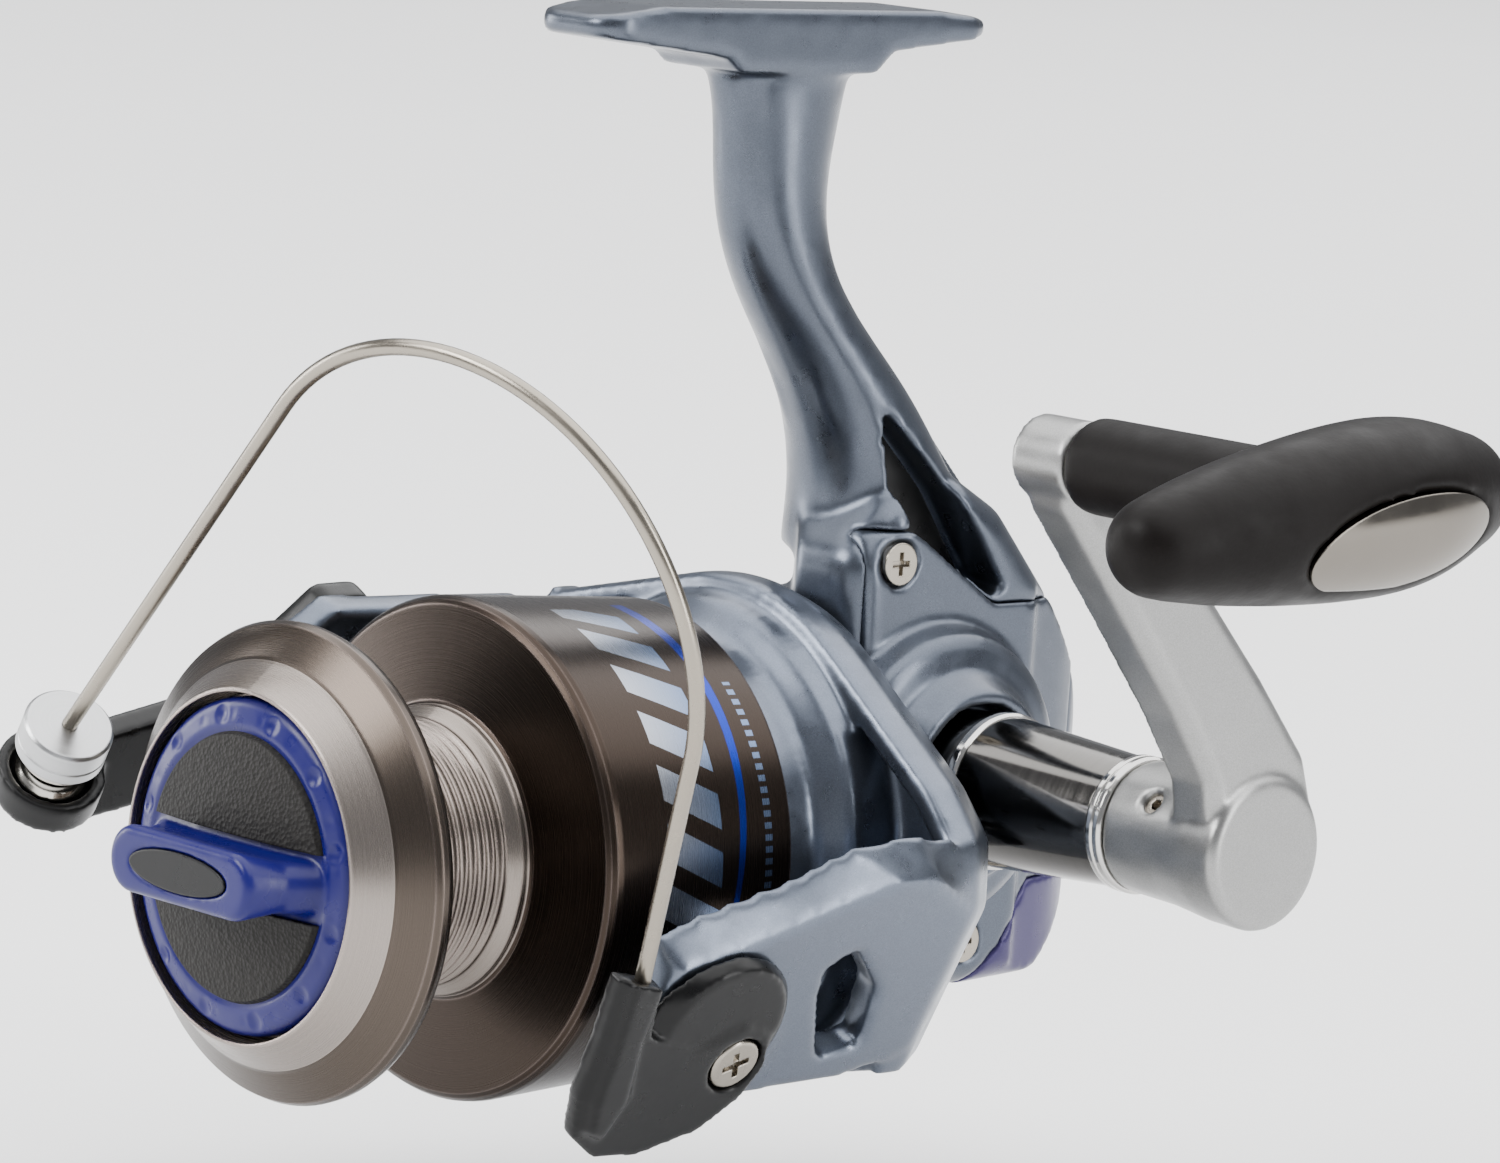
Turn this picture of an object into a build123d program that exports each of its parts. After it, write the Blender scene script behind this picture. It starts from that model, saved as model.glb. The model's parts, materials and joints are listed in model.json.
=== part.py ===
"""Spinning reel, built as separate pieces in millimetres.

The origin is the centre of the foot's flat top face, +Z is up, the spool faces -Y
and the handle is on the +X side.  Most pieces are drawn from two distances measured
from the front edge of the spool skirt: `back` (towards +Y) and `up` (above the spool
axis).  Rotor pieces use `u` (from one rotor arm to the other) and `w` (across them).
"""
from build123d import *
from math import asin, cos, degrees, radians, sin
import os

# ---------------------------------------------------------------- driving dimensions
AXIS_DROP = 103.5          # spool axis below the foot face
SKIRT_FRONT = -43.6        # Y of the skirt's front edge
ROTOR_TURN = -27.0         # rotor's rest angle about the spool axis, degrees

FOOT_LENGTH = 65.8
FOOT_WIDTH = 15.0
FOOT_BACK = -SKIRT_FRONT   # foot's centre behind the skirt's front edge

SHAFT_R = 2.25             # main shaft
RUNNING_GAP = 0.05         # radial clearance of a running fit

SKIRT_R = 31.0
SKIRT_REAR_R = 29.4
SKIRT_LENGTH = 29.6
SKIRT_WALL = 1.4
ARBOR_R = 16.4
LIP_R = 29.1
LIP_BACK = -25.3

DRUM_R = 25.5              # rotor drum inside the skirt
RING_R = 32.0              # rotor ring
ARM_OUT = 41.5             # outer and inner faces of the rotor arms, from the spool axis
ARM_IN = 36.7
RING_FRONT = 42.5
RING_REAR = 52.0
PIVOT_BACK = 13.0          # bail pivots, on the U axis

CASE_HALF = 13.0           # half width of the gear case
CASE_WALL = 2.6
SEAM_X = 8.0               # side cover's edge
FLANGE_BACK = 53.2         # front face of the gear case

GEAR_BACK = 68.5           # handle axis
GEAR_UP = 7.1
DRIVE_GEAR_R = 12.6
DRIVE_TEETH = 49
PINION_TEETH = 10
SLOW_PINION_TEETH = 12
SLOW_GEAR_TEETH = 26
SLOW_BACK = 84.4           # oscillation gear axis
SLOW_UP = 1.6
STROKE = 17.0              # spool stroke
CRANK_R = STROKE / 2
GUIDE_RODS = [(0, 13.4), (2.0, -7.4)]   # (x, up) of the slider's guide rods
ROD_ENDS = [96.4, 99.2]
ROD_FRONT = 55.6
SLIDER_DEEP = 5.0

COLLAR_R1 = 9.6            # handle collar, inner end
COLLAR_R2 = 8.1            # handle collar, outer end
KNOB_BACK = 34.0           # axis of the T-shaped grip
KNOB_UP = 55.8
GRIP_X = 71.2
BAR_X = 108.5

# ---------------------------------------------------------------- frames
AXIS_POINT = Vector(0, SKIRT_FRONT, -AXIS_DROP)
U_DIR = Vector(cos(radians(ROTOR_TURN)), 0, sin(radians(ROTOR_TURN)))
W_DIR = Vector(-sin(radians(ROTOR_TURN)), 0, cos(radians(ROTOR_TURN)))
SPOOL_AXIS = Axis(AXIS_POINT, (0, -1, 0))
HANDLE_AXIS = Axis((0, SKIRT_FRONT + GEAR_BACK, GEAR_UP - AXIS_DROP), (1, 0, 0))


def side_plane(x):
    """Plane across X, drawn in (back, up)."""
    return Plane(origin=AXIS_POINT + Vector(x, 0, 0), x_dir=(0, 1, 0), z_dir=(1, 0, 0))


def front_plane(back):
    """Plane across the spool axis that faces forward, drawn in (x, up)."""
    return Plane(origin=AXIS_POINT + Vector(0, back, 0), x_dir=(1, 0, 0), z_dir=(0, -1, 0))


def rotor_plane(back):
    """Plane across the spool axis that faces forward, drawn in (u, w)."""
    return Plane(origin=AXIS_POINT + Vector(0, back, 0), x_dir=U_DIR, z_dir=(0, -1, 0))


def arm_plane(u):
    """Plane across the near rotor arm, drawn in (back, w)."""
    return Plane(origin=AXIS_POINT + U_DIR * u, x_dir=(0, 1, 0), z_dir=U_DIR)


def far_arm_plane(u):
    """Plane across the far rotor arm, turned half round: (back, -w)."""
    return Plane(origin=AXIS_POINT - U_DIR * u, x_dir=(0, 1, 0), z_dir=-U_DIR)


def level_plane(up):
    """Level plane, drawn in (x, back)."""
    return Plane(origin=AXIS_POINT + Vector(0, 0, up), x_dir=(1, 0, 0), z_dir=(0, 0, 1))


def rotor_point(u, back, w):
    return AXIS_POINT + U_DIR * u + Vector(0, back, 0) + W_DIR * w


def shifted(plane, spot, turn=0):
    """The same plane with its origin moved to a point drawn in it, then turned in itself."""
    x_dir = plane.x_dir.rotate(Axis((0, 0, 0), plane.z_dir), turn)
    return Plane(origin=plane.from_local_coords(spot), x_dir=x_dir, z_dir=plane.z_dir)


# ---------------------------------------------------------------- shared shapes
def turned(outline, axis=SPOOL_AXIS, plane=None):
    """A closed (back, radius) outline turned about an axis."""
    with BuildPart() as piece:
        with BuildSketch(plane or side_plane(0)):
            with BuildLine():
                Polyline(*outline, close=True)
            make_face()
        revolve(axis=axis)
    return piece


def turned_on_handle(outline):
    """A closed (x, radius) outline turned about the handle axis."""
    plane = Plane(origin=HANDLE_AXIS.position, x_dir=(1, 0, 0), z_dir=(0, -1, 0))
    return turned(outline, HANDLE_AXIS, plane)


def ring(plane, outer, inner, height):
    with BuildPart() as piece:
        with BuildSketch(plane):
            Circle(outer)
            Circle(inner, mode=Mode.SUBTRACT)
        extrude(amount=height)
    return piece


def gear_outline(teeth, tip_r, root_r):
    """Points of a plain spur outline."""
    points = []
    step = 360 / teeth
    for tooth in range(teeth):
        for part, radius in ((0, root_r), (0.26, root_r), (0.38, tip_r), (0.88, tip_r)):
            angle = radians((tooth + part) * step)
            points.append((radius * cos(angle), radius * sin(angle)))
    return points


def cross_screws(places, head_r, head_high, shank_r, shank_long):
    """Cross-head screws; each plane lies under a head and faces out."""
    with BuildPart() as piece:
        for place in places:
            with BuildSketch(place):
                Circle(head_r)
            extrude(amount=head_high)
            with BuildSketch(place):
                Circle(shank_r)
            extrude(amount=-shank_long)
            with BuildSketch(place.offset(head_high)):
                Rectangle(head_r * 1.1, head_r * 0.28)
                Rectangle(head_r * 0.28, head_r * 1.1)
            extrude(amount=-head_high * 0.7, mode=Mode.SUBTRACT)
    return piece


def save(piece, label):
    piece.part.label = label
    export_step(piece.part, f"parts/{label}.step")


# ---------------------------------------------------------------- body
CASE_OUTLINE = [(53.2, -14), (60, -19), (79, -21.8), (92.5, -21), (101.5, -12.5), (104.5, -1),
                (103.6, 8.5), (99, 17), (91.5, 27.5), (80, 40.5), (72, 45), (60, 43), (53.2, 35)]
CAVITY_OUTLINE = [(55.4, -12.0), (61, -16.2), (79.3, -18.8), (91.3, -18.1), (98.8, -11), (101.4, -1),
                  (100.6, 7.6), (96.3, 15.4), (90.6, 23.4), (77.4, 25.6), (60, 24.6), (55.4, 24.6)]
CASE_PLAN = [(-13.2, 90), (-12.6, 95.4), (-9.4, 101), (-4.4, 104), (0.4, 104.4), (4.6, 102.2),
             (7.8, 98.4), (10.0, 93.4), (11.8, 86.4), (13.2, 76)]     # (x, back) of the rear end
CAVITY_PLAN = [(-10.4, 90), (-10.4, 95.2), (-8.0, 99.0), (-3.8, 101.6), (0.2, 101.6), (3.4, 99.8),
               (5.6, 97.0), (7.6, 92.2), (9.4, 85.6), (10.4, 78)]
CORNER_CUT = [(-16, 48), (1.5, 48), (1.5, 53.2), (-16, 69.5)]         # front corner on the knob-free side
CORNER_FROM = 28.0         # height above which that corner is cut
FIN_OUTLINE = [(50, 74.5), (52.5, 72), (56.8, 66.6), (64.4, 58), (70.6, 51.8), (80.2, 41.8), (87, 33.3),
               (92.5, 25.5), (80, 22), (60, 42), (50, 60)]
STEM_SECTIONS = [  # up, back, half width, half depth
    (100.5, 45.0, 7.2, 14.5), (96, 45.6, 6.8, 10.8), (85, 45.8, 6.5, 8.2), (75, 46.9, 6.6, 7.2),
    (66, 51.6, 7.2, 7.1), (58, 58.2, 8.4, 7.8), (50, 63.6, 10.0, 8.8), (42, 67.4, 11.6, 10.8),
    (34, 69.6, 12.4, 13.5)]
RECESS = [(59.4, 54.0), (62.6, 38.6), (77.8, 29.4), (79.4, 30.6), (70.5, 43.0)]
RECESS_FLOOR = 5.2
COVER_TOP = 38.4           # side cover's top seam
COVER_SEAM = [(55.6, -30), (110, -30), (110, 28.5), (78, 28.5), (63.2, COVER_TOP), (55.6, COVER_TOP)]
REAR_SEAM = [(76.5, -24), (89.5, -8.4), (112, -8.4), (112, -30), (80, -30)]
COVER_SCREWS = [(60.6, 34.4), (60.5, -13.0), (76.5, -15.2)]
BOSS_STARTS = [0, 1 - CASE_HALF, 1 - CASE_HALF]
REAR_SCREW = Plane(origin=side_plane(0).from_local_coords((96.2, -15.8)), x_dir=(1, 0, 0),
                   z_dir=(0, 0.687, -0.727))


def prism(outline, x0, x1):
    """A (back, up) outline between two X values."""
    with BuildPart() as block:
        with BuildSketch(side_plane(x0)):
            with BuildLine():
                Polyline(*outline, close=True)
            make_face()
        extrude(amount=x1 - x0)
    return block


def make_foot():
    """A tapered blade that a reel seat clamps at both ends, its top flat between two ramps."""
    top = AXIS_DROP
    front = FOOT_BACK - FOOT_LENGTH / 2
    rear = FOOT_BACK + FOOT_LENGTH / 2
    outline = [(front, top - 1.4), (front + 9, top), (rear - 9, top), (rear, top - 1.0), (rear, top - 3.2),
               (59, top - 5.2), (56, top - 8), (33, top - 8), (31, top - 6.2), (front, top - 4.0)]
    blade = prism(outline, -FOOT_WIDTH / 2, FOOT_WIDTH / 2)
    with BuildPart() as foot:
        add(blade.part)
        with BuildSketch(level_plane(top - 20)):
            with Locations((0, FOOT_BACK)):
                RectangleRounded(FOOT_WIDTH, FOOT_LENGTH, 4.5)
        extrude(amount=40, mode=Mode.INTERSECT)
    return foot


def plan_prism(outline):
    """Upright block whose plan is straight at the sides and curved through the (x, back) points."""
    places = [(x, SKIRT_FRONT + back) for x, back in outline]
    with BuildPart() as block:
        with BuildSketch(Plane.XY.offset(-AXIS_DROP - 40)):
            with BuildLine():
                Spline(*places, tangents=((0, 1), (0, -1)))
                Polyline(places[-1], (places[-1][0], 0), (places[0][0], 0), places[0])
            make_face()
        extrude(amount=100)
    return block


def make_case():
    """Outer shape of the gear case, before it is split into shells."""
    plan = plan_prism(CASE_PLAN)
    with BuildPart() as case:
        with BuildSketch(side_plane(0)):
            with BuildLine():
                Polyline(*CASE_OUTLINE, close=True)
            make_face()
            fillet(vertices(), 5)
        extrude(amount=CASE_HALF, both=True)
        fillet(case.faces().filter_by(Axis.X).edges(), 5.0)
        add(plan.part, mode=Mode.INTERSECT)
        with BuildSketch(level_plane(CORNER_FROM)):
            with BuildLine():
                Polyline(*[(x, back) for x, back in CORNER_CUT], close=True)
            make_face()
        extrude(amount=30, mode=Mode.SUBTRACT)
    return case


def make_cavity():
    """Space for the gears and the slider inside the case."""
    half = CASE_HALF - CASE_WALL
    plan = plan_prism(CAVITY_PLAN)
    with BuildPart() as cavity:
        add(prism(CAVITY_OUTLINE, -half, half).part)
        add(plan.part, mode=Mode.INTERSECT)
    return cavity


def make_stem():
    with BuildPart() as stem:
        for up, back, half_wide, half_deep in STEM_SECTIONS:
            with BuildSketch(level_plane(up)):
                with Locations((0, back)):
                    Ellipse(half_wide, half_deep)
        loft()
    return stem


def make_hollow_body():
    """Foot, stem, fin, flange, bosses and case as one hollow solid with its bores."""
    solids = [make_case(), make_stem(), prism(FIN_OUTLINE, -4.6, 4.6), make_foot(),
              turned([(FLANGE_BACK, 0), (FLANGE_BACK, 25), (55.5, 25.6), (62, 18), (62, 0)]),
              turned([(43.6, 0), (43.6, 15), (54, 15), (54, 0)])]
    cuts = [make_cavity(),
            turned([(43, 0), (43, 12), (50.2, 12), (50.2, 7.5), (54.6, 7.5), (54.6, 5.6), (58, 5.6), (58, 0)])]
    for side in (1, -1):
        solids.append(turned_on_handle([
            (0, 0), (0, 19), (side * 13.6, 19.4), (side * 16.6, 18.4), (side * 17.6, 16.6),
            (side * 18.2, 14), (side * 22, 11.9), (side * 22, 0)]))
        cuts.append(prism(RECESS, side * RECESS_FLOOR, side * 25))
        cuts.append(turned_on_handle([
            (0, 0), (0, 8), (side * 16.6, 8), (side * 16.6, 5.4), (side * 17.4, 5.4),
            (side * 17.4, 10.4), (side * 23, 10.4), (side * 23, 0)]))
    with BuildPart() as hollow:
        for solid in solids:
            add(solid.part)
        for cut in cuts:
            add(cut.part, mode=Mode.SUBTRACT)
    return hollow


def make_shells():
    """Body housing, side cover and rear cover, parted along the seams."""
    hollow = make_hollow_body()
    cover_region = prism(COVER_SEAM, SEAM_X, 40)
    rear_region = prism(REAR_SEAM, -40, 40)
    with BuildPart() as side_cover:
        add(hollow.part)
        add(cover_region.part, mode=Mode.INTERSECT)
        add(rear_region.part, mode=Mode.SUBTRACT)
        for back, up in COVER_SCREWS:
            with BuildSketch(side_plane(SEAM_X)):
                with Locations((back, up)):
                    Circle(1.7)
            extrude(amount=20, mode=Mode.SUBTRACT)
            with BuildSketch(side_plane(CASE_HALF - 1.2)):
                with Locations((back, up)):
                    Circle(3.1)
            extrude(amount=10, mode=Mode.SUBTRACT)
    with BuildPart() as rear_cover:
        add(hollow.part)
        add(rear_region.part, mode=Mode.INTERSECT)
        with BuildSketch(REAR_SCREW.offset(-1.4)):
            Circle(3.1)
        extrude(amount=6, mode=Mode.SUBTRACT)
        with BuildSketch(REAR_SCREW.offset(-1.4)):
            Circle(1.7)
        extrude(amount=-8, mode=Mode.SUBTRACT)
    with BuildPart() as body_housing:
        add(hollow.part)
        add(cover_region.part, mode=Mode.SUBTRACT)
        add(rear_region.part, mode=Mode.SUBTRACT)
        for (back, up), start in zip(COVER_SCREWS, BOSS_STARTS):
            with BuildSketch(side_plane(start)):
                with Locations((back, up)):
                    Circle(3.2)
            extrude(amount=SEAM_X - start)
            with BuildSketch(side_plane(SEAM_X)):
                with Locations((back, up)):
                    Circle(1.5)
            extrude(amount=-9, mode=Mode.SUBTRACT)
    return body_housing, side_cover, rear_cover


def body_parts():
    body_housing, side_cover, rear_cover = make_shells()
    save(body_housing, "body_housing")
    save(side_cover, "side_cover")
    save(rear_cover, "rear_cover")
    cover_places = [shifted(side_plane(CASE_HALF - 1.2), spot) for spot in COVER_SCREWS]
    save(cross_screws(cover_places, 2.7, 1.3, 1.45, 11), "side_cover_screws")
    save(cross_screws([REAR_SCREW.offset(-1.4)], 2.7, 1.3, 1.45, 3.4), "rear_cover_screw")
    for side, name in ((1, "drive_bearing_right"), (-1, "drive_bearing_left")):
        bearing = [(side * 11.4, 4.5), (side * 11.4, 5.7), (side * 11.8, 5.9), (side * 11.8, 6.6),
                   (side * 11.4, 6.8), (side * 11.4, 8), (side * 16.4, 8), (side * 16.4, 6.8),
                   (side * 16.0, 6.6), (side * 16.0, 5.9), (side * 16.4, 5.7), (side * 16.4, 4.5)]
        save(turned_on_handle(bearing), name)
    save(turned([(50.4, 3.65), (50.4, 7.5), (54.4, 7.5), (54.4, 3.65)]), "pinion_bearing")
    save(turned([(44.6, 5.5), (44.6, 12), (50.0, 12), (50.0, 5.5)]), "anti_reverse_clutch")
    save(turned([(42.9, 6.4), (42.9, 14.6), (43.6, 14.6), (43.6, 12), (44.4, 11.4), (44.4, 6.4)]),
         "clutch_retainer")
    with BuildPart() as guide_rods:
        for spot, end in zip(GUIDE_RODS, ROD_ENDS):
            with BuildSketch(front_plane(end)):
                with Locations(spot):
                    Circle(1.2)
            extrude(amount=end - ROD_FRONT)
    save(guide_rods, "slider_guide_rods")
    with BuildPart() as slow_axle:
        with BuildSketch(side_plane(-10.4)):
            with Locations((SLOW_BACK, SLOW_UP)):
                Circle(2)
        extrude(amount=3.6)
    save(slow_axle, "oscillation_axle")
    plug = turned_on_handle([(-18.2, 0), (-18.2, 10.4), (-22.6, 10.4), (-23.4, 9.6), (-23.4, 0)])
    with BuildPart() as shaft_cap:
        add(plug.part)
        with BuildSketch(side_plane(-23.4)):
            with Locations((GEAR_BACK, GEAR_UP)):
                Rectangle(12, 1.6)
        extrude(amount=1.0, mode=Mode.SUBTRACT)
    save(shaft_cap, "shaft_cap")


# ---------------------------------------------------------------- rotor
SHOULDER = [(0, 0), (5.3, 31.6), (29.5, 27.6), (37, 24.5), (41.2, 17), (41.2, -8), (40, -8), (20.3, -24.7)]
ARM_OUTER = [(-0.6, 9), (0.8, 12.8), (12.1, 16.3), (21.9, 20.2), (31.5, 23.6), (38, 23), (46, 17),
             (46, -3.4), (42.6, -5.4), (36, -7.2), (4, -8.4), (-0.6, -3)]
ARM_INNER = [(-2.4, 9), (-1.6, 15.2), (3.4, 17.6), (15.9, 21.6), (24.6, 25.8), (34, 27.4), (46, 25),
             (46, -3.4), (42.6, -5.8), (36, -8), (4, -9.2), (-2.4, -3)]
ARM_WINDOW = [(25.2, 10.6), (29.0, 13.2), (35.6, 6.5), (37.2, -2.2), (30.6, -3.4), (26.2, 6.0)]
SPRING_POCKET = [(20, 2), (39, 2), (39, 15), (20, 15)]
TRIP_LEVER = [(29.8, 7.8), (37.8, 7.8), (37.8, 10.8), (34, 10.8), (34, 13.6), (31.4, 13.6), (29.8, 10.6)]
SHOULDER_R = 45.5
RIM = 3.4                  # thickness of the ring's outer frame
BOSS_FACE = 41.7
RING_TAPER = 0.93          # the ring is smaller at its rear edge


def ring_sketch(plane, grow=1.0, inset=0.0):
    """Outline of the rotor ring with its two arm shoulders."""
    with BuildSketch(plane) as outline:
        for sign in (1, -1):
            with BuildLine():
                Polyline(*[(sign * u * grow, sign * w * grow) for u, w in SHOULDER], close=True)
            make_face()
        Circle(SHOULDER_R * grow, mode=Mode.INTERSECT)
        Circle(RING_R * grow)
        if inset:
            offset(amount=-inset)
    return outline


def arm_face(plane, outline):
    with BuildSketch(plane) as sketch:
        with BuildLine():
            Polyline(*outline, close=True)
        make_face()
    return sketch.sketch.face()


def make_arm(plane_at, boss_r):
    """One arm: a plate with sloping edges and a flat boss at the bail pivot."""
    inner = arm_face(plane_at(ARM_IN), ARM_INNER)
    outer = arm_face(plane_at(ARM_OUT), ARM_OUTER)
    with BuildPart() as arm:
        loft([inner, outer], ruled=True)
        with BuildSketch(plane_at(ARM_IN + 1)):
            with Locations((PIVOT_BACK, 0)):
                Circle(boss_r)
        extrude(amount=BOSS_FACE - ARM_IN - 1)
        with BuildSketch(plane_at(ARM_IN - 2)):
            with Locations((PIVOT_BACK, 0)):
                Circle(1.6)
        extrude(amount=12, mode=Mode.SUBTRACT)
    return arm


def make_rotor():
    ring_mid = ring_sketch(rotor_plane(47))
    ring_rear = ring_sketch(rotor_plane(RING_REAR), RING_TAPER)
    gap = ring_sketch(rotor_plane(47.6), inset=RIM)
    arms = [make_arm(arm_plane, 8.6), make_arm(far_arm_plane, 6.8)]
    drum = turned([(5, 23.8), (5, DRUM_R), (37.6, DRUM_R), (37.6, 26.1), (40.2, 29.4), (49, 29.4), (49, 0),
                   (30.2, 0), (30.2, 23.8)])
    cup = turned([(34.4, 7.6), (34.4, 22.6), (36.6, 23.6), (40.2, 26.8), (60, 26.8), (60, 0), (42.6, 0),
                  (42.6, 7.6)])
    bore = turned([(20, 0), (20, 3.6), (60, 3.6), (60, 0)])
    rim_gap = extrude(gap.sketch, amount=10)
    pocket = pocket_prism(37.8, 43)
    with BuildPart() as rotor:
        extrude(ring_mid.sketch, amount=47 - RING_FRONT)
        loft([ring_mid.sketch.face(), ring_rear.sketch.face()], ruled=True)
        for arm in arms:
            add(arm.part)
        add(rim_gap, mode=Mode.SUBTRACT)
        add(drum.part)
        add(cup.part, mode=Mode.SUBTRACT)
        add(bore.part, mode=Mode.SUBTRACT)
        with BuildSketch(arm_plane(34)):
            with BuildLine():
                Polyline(*ARM_WINDOW, close=True)
            make_face()
            fillet(vertices(), 0.8)
        extrude(amount=10, mode=Mode.SUBTRACT)
        add(pocket.part, mode=Mode.SUBTRACT)
    return rotor


def pocket_prism(inner, outer, inset=0.0, outline=SPRING_POCKET):
    """Flat block in the far arm, between two distances from the spool axis."""
    with BuildPart() as block:
        with BuildSketch(far_arm_plane(inner)):
            with BuildLine():
                Polyline(*outline, close=True)
            make_face()
            fillet(vertices(), 1.5 if inset or outline is SPRING_POCKET else 0.4)
            if inset:
                offset(amount=-inset)
        extrude(amount=outer - inner)
    return block


def make_arm_cover():
    """Plate that closes the spring pocket of the far arm."""
    plate = pocket_prism(40.5, 41.2, inset=0.1)
    with BuildPart() as arm_cover:
        add(plate.part)
        with BuildSketch(far_arm_plane(30)):
            with Locations((35.5, 5.5)):
                Circle(1.0)
        extrude(amount=14, mode=Mode.SUBTRACT)
    return arm_cover


def make_spring(plane, bore_r, wire_r, turns):
    """Close-wound spring, its turns drawn as round ridges on a thin sleeve."""
    pitch = 2 * wire_r
    with BuildPart() as spring:
        with BuildSketch(plane):
            with Locations((bore_r + 0.6 * wire_r, turns * pitch / 2)):
                Rectangle(1.2 * wire_r, (turns - 1) * pitch)
            with GridLocations(0, pitch, 1, turns):
                with Locations((bore_r + wire_r, turns * pitch / 2)):
                    Circle(wire_r * 1.04)
        revolve(axis=Axis(plane.origin, plane.y_dir))
    return spring


def rotor_parts():
    save(make_rotor(), "rotor")
    save(make_arm_cover(), "arm_cover")
    cover_place = shifted(far_arm_plane(41.2), (35.5, 5.5))
    save(cross_screws([cover_place], 1.5, 0.7, 0.85, 2.6), "arm_cover_screw")
    spring_plane = shifted(far_arm_plane(39.0), (29.0, 9), 90)
    save(make_spring(spring_plane, 0.35, 0.36, 11), "bail_spring")
    save(pocket_prism(37.9, 39.8, outline=TRIP_LEVER), "bail_trip_lever")
    with BuildPart() as pinion_gear:
        with BuildSketch(front_plane(61.6)):
            Polygon(*gear_outline(PINION_TEETH, 4.7, 3.5), align=None)
        extrude(amount=6.8)
        with BuildSketch(front_plane(54.8)):
            Circle(3.6)
        extrude(amount=27.4)
        with BuildSketch(front_plane(61.6)):
            Circle(SHAFT_R + RUNNING_GAP)
        extrude(amount=40, mode=Mode.SUBTRACT)
    save(pinion_gear, "pinion_gear")
    save(ring(front_plane(50.3), 5.4, 3.6, 7.6), "clutch_sleeve")
    with BuildPart() as rotor_nut:
        with BuildSketch(front_plane(30.2)):
            RegularPolygon(7, 6)
            Circle(3.6, mode=Mode.SUBTRACT)
        extrude(amount=3.0)
    save(rotor_nut, "rotor_nut")
    with BuildPart() as balance_weight:
        with BuildSketch(rotor_plane(38.6)):
            with Locations((12.6, -14.6)):
                Rectangle(9, 4, rotation=41)
        extrude(amount=4)
    save(balance_weight, "balance_weight")


# ---------------------------------------------------------------- bail
WIRE_END = (44.4, -9.0, 15.0)      # (u, back, w) where the wire enters the holder
WIRE_CAP = (-41.2, -27.5, -9.5)    # where the wire enters the roller cap
WIRE_CROWN = (13.5, -33.4, 79.5)   # highest point of the wire
LOOP_CENTRE = (64.8, 39.0)         # centre of the wire's round part in the wire's plane
LOOP_R = 33.6
WIRE_R = 1.0
ROLLER_DIR = Vector(U_DIR * 0.215 - Vector(0, 0.21, 0) + W_DIR * 0.953).normalized()
ROLLER_TOP = Plane(origin=rotor_point(*WIRE_CAP), z_dir=ROLLER_DIR, x_dir=Vector(0, 1, 0).cross(ROLLER_DIR))
HOLDER_FACE = 42.0
HOLDER_BASE = (8.4, 2.8, 12.4)     # (back, w, radius) of the dish's foot, then of its flat top
HOLDER_TOP = (8.6, 5.6, 9.0)
HOLDER_LEAF = [(-12.9, 15.5), (-5.4, 13.6), (-4.0, 9), (-3.3, 6), (0.6, 4.6), (5.8, 3.2), (12, 6), (16.4, 4.4),
               (18.0, -0.6), (16.3, -5.4), (11.6, -9.9), (2.9, -12.6), (-4.2, -12), (-9, -8.5), (-11, -2.1),
               (-11.4, 5.4)]
RIDGE_FOOT = [(-12.9, 15.5), (-5.4, 13.6), (-3.6, 5), (0.2, -4), (-3, -12), (-9, -8.5), (-11, -2.1), (-11.4, 5.4)]
RIDGE_TOP = [(-11.6, 16.0), (-7.0, 15.0), (-6.6, 7), (-4.8, -2), (-6.0, -7.4), (-8.2, -6.4), (-9.4, -2), (-9.9, 5)]
LEVER = [(13.4, -7.2), (19.6, 0), (16, 7.2), (2, 17.4), (-10, 24.0), (-20, 26.4), (-24, 20), (-21, 13),
         (-8, 9.6), (3, -1.5), (7, -7)]


def wire_path():
    """Straight side, round crown and straight side, all in one plane."""
    start = rotor_point(*WIRE_CAP)
    end = rotor_point(*WIRE_END)
    chord = end - start
    plane = Plane(origin=start, x_dir=chord, z_dir=chord.cross(rotor_point(*WIRE_CROWN) - start))
    centre = Vector(*LOOP_CENTRE)
    far_end = Vector(chord.length, 0)
    touches = []
    for foot, sign in ((Vector(0, 0), 1), (far_end, -1)):
        reach = centre - foot
        side = (reach.length ** 2 - LOOP_R ** 2) ** 0.5
        lean = sign * degrees(asin(LOOP_R / reach.length))
        touch = foot + reach.normalized().rotate(Axis.Z, lean) * side
        touches.append((touch.X, touch.Y))
    crown = (centre.X, centre.Y + LOOP_R)
    with BuildLine(plane) as path:
        Line((0, 0), touches[0])
        ThreePointArc(touches[0], crown, touches[1])
        Line(touches[1], (far_end.X, 0))
    return path.wire()


def make_wire():
    path = wire_path()
    with BuildPart() as bail_wire:
        with BuildSketch(Plane(origin=path @ 0, z_dir=path % 0)):
            Circle(WIRE_R)
        sweep(path=path)
    return bail_wire


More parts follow.
